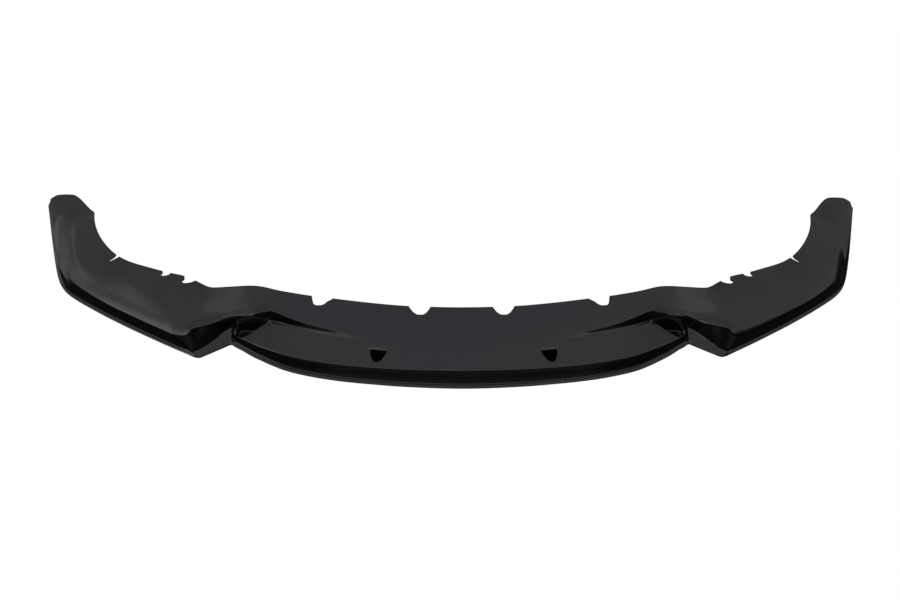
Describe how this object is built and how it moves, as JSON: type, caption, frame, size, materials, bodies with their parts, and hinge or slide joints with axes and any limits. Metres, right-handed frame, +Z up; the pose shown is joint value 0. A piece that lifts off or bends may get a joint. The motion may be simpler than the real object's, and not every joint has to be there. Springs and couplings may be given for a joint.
{
  "type": "front splitter lip",
  "caption": "One-piece gloss black lip that bolts under a car's front bumper, with a thin bottom ledge, a raised centre, side scoops and upswept tips.",
  "frame": {"origin": "centre of the bottom of the lip's bounding box, on the ground plane that its ledge stands on", "axes": "+X across the car to the lip's right-hand tip in the picture, +Y towards the back of the car, +Z up; the front faces -Y"},
  "size_m": [1.796, 0.5218, 0.1205],
  "materials": {
    "front_lip": "moulded gloss black"
  },
  "bodies": {
    "root": {"front_lip": "front_lip"}
  },
  "joints": []
}
